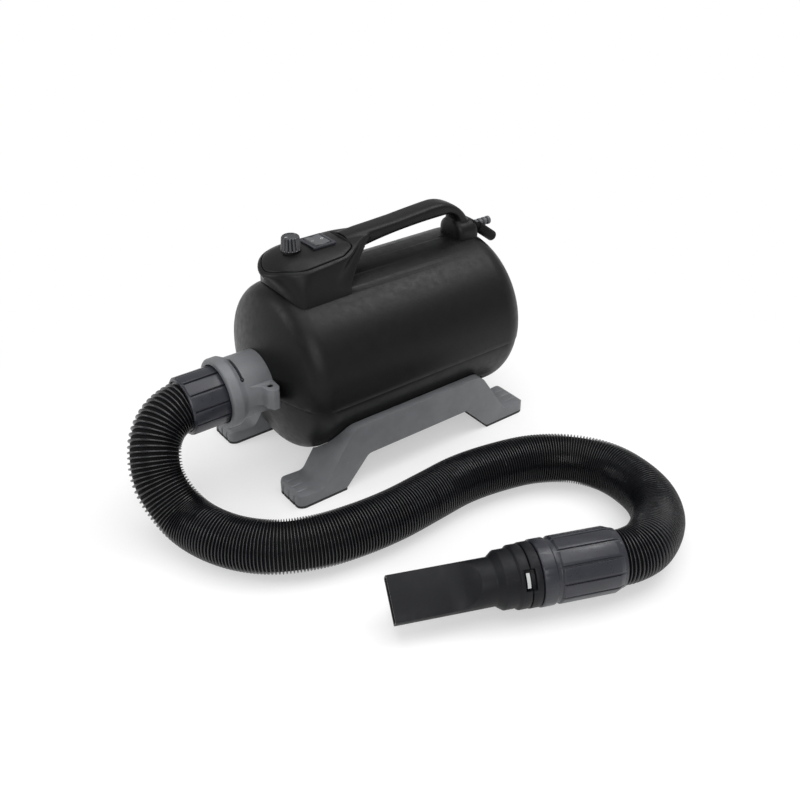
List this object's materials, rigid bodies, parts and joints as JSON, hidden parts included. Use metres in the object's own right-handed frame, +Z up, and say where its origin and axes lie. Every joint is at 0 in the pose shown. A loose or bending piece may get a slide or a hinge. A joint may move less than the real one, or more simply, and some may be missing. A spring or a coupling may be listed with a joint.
{
  "type": "pet grooming dryer",
  "caption": "Forced-air pet dryer: drum housing with carrying handle, control pod and skid feet, and a ribbed hose with handgrip and flat blade nozzle.",
  "frame": {"origin": "on the floor, under the middle of the machine's own box, hose and what is on it left out", "axes": "+Y along the drum from the air outlet to the cable end, +X towards the side with the collar's ear, +Z up"},
  "size_m": [0.4879, 0.4761, 0.2567],
  "materials": {
    "housing": "satin black moulding",
    "grey": "satin mid grey moulding",
    "cuff": "satin slate moulding",
    "hose": "satin black flexible ribs",
    "nozzle": "satin dark grey moulding",
    "knob": "satin dark grey moulding",
    "sleeve": "grey ribbed moulding",
    "rubber": "matt black rubber",
    "steel": "zinc plated steel",
    "sheet": "pressed and cast aluminium",
    "core": "laminated core, varnished",
    "copper": "copper bars",
    "brass": "pressed brass",
    "carbon": "carbon",
    "inner_plastic": "black moulding",
    "foam": "open-cell foam",
    "ceramic": "mica board",
    "wire": "resistance wire",
    "board": "circuit board"
  },
  "bodies": {
    "dryer": {"upper_housing": "housing", "lower_housing": "housing", "top_handle": "housing", "control_panel": "housing", "potentiometer": "steel", "switch_frame": "knob", "cable_sleeve": "sleeve", "fuse_cap": "housing", "outlet_collar": "grey", "hose": "hose", "handgrip": "cuff", "lock_ring": "nozzle", "left_skid": "grey", "right_skid": "grey", "rubber_soles": "rubber", "skid_screws": "steel", "housing_screws": "steel", "handle_screws": "steel", "intake_grille": "housing", "grille_screws": "steel", "filter_foam": "foam", "motor_bulkhead": "inner_plastic", "motor_seal": "rubber", "fan_casing": "sheet", "motor_frame": "sheet", "stator": "core", "motor_bearings": "steel", "brush_holders": "brass", "carbon_brushes": "carbon", "front_mount": "rubber", "heater_plate": "sheet", "heater_former": "ceramic", "heater_wire": "wire", "speed_board": "board"},
    "rotor": {"fan_wheel": "sheet", "armature": "core", "commutator": "copper", "motor_shaft": "steel"},
    "knob": {"speed_knob": "knob", "control_shaft": "steel"},
    "rocker": {"switch_rocker": "knob"},
    "cuff": {"hose_cuff": "cuff"},
    "nozzle": {"nozzle": "nozzle"}
  },
  "joints": [
    {"name": "fan_spin", "type": "hinge", "parent": "dryer", "child": "rotor", "pos_m": [0, 0.02, 0.1127], "axis": [0, 1, 0], "continuous": true},
    {"name": "knob_turn", "type": "hinge", "parent": "dryer", "child": "knob", "pos_m": [0, -0.083, 0.25], "axis": [0, 0, 1], "range_deg": [-150, 150]},
    {"name": "rocker_tilt", "type": "hinge", "parent": "dryer", "child": "rocker", "pos_m": [0, -0.052, 0.2392], "axis": [1, 0, 0], "range_deg": [-12, 12]},
    {"name": "cuff_twist", "type": "hinge", "parent": "dryer", "child": "cuff", "pos_m": [0, -0.19, 0.108], "axis": [0, -1, 0], "range_deg": [0, 48]},
    {"name": "nozzle_twist", "type": "hinge", "parent": "dryer", "child": "nozzle", "pos_m": [0.32491, -0.05708, 0.031], "axis": [-0.3746, -0.9272, 0], "range_deg": [-4, 4]}
  ]
}
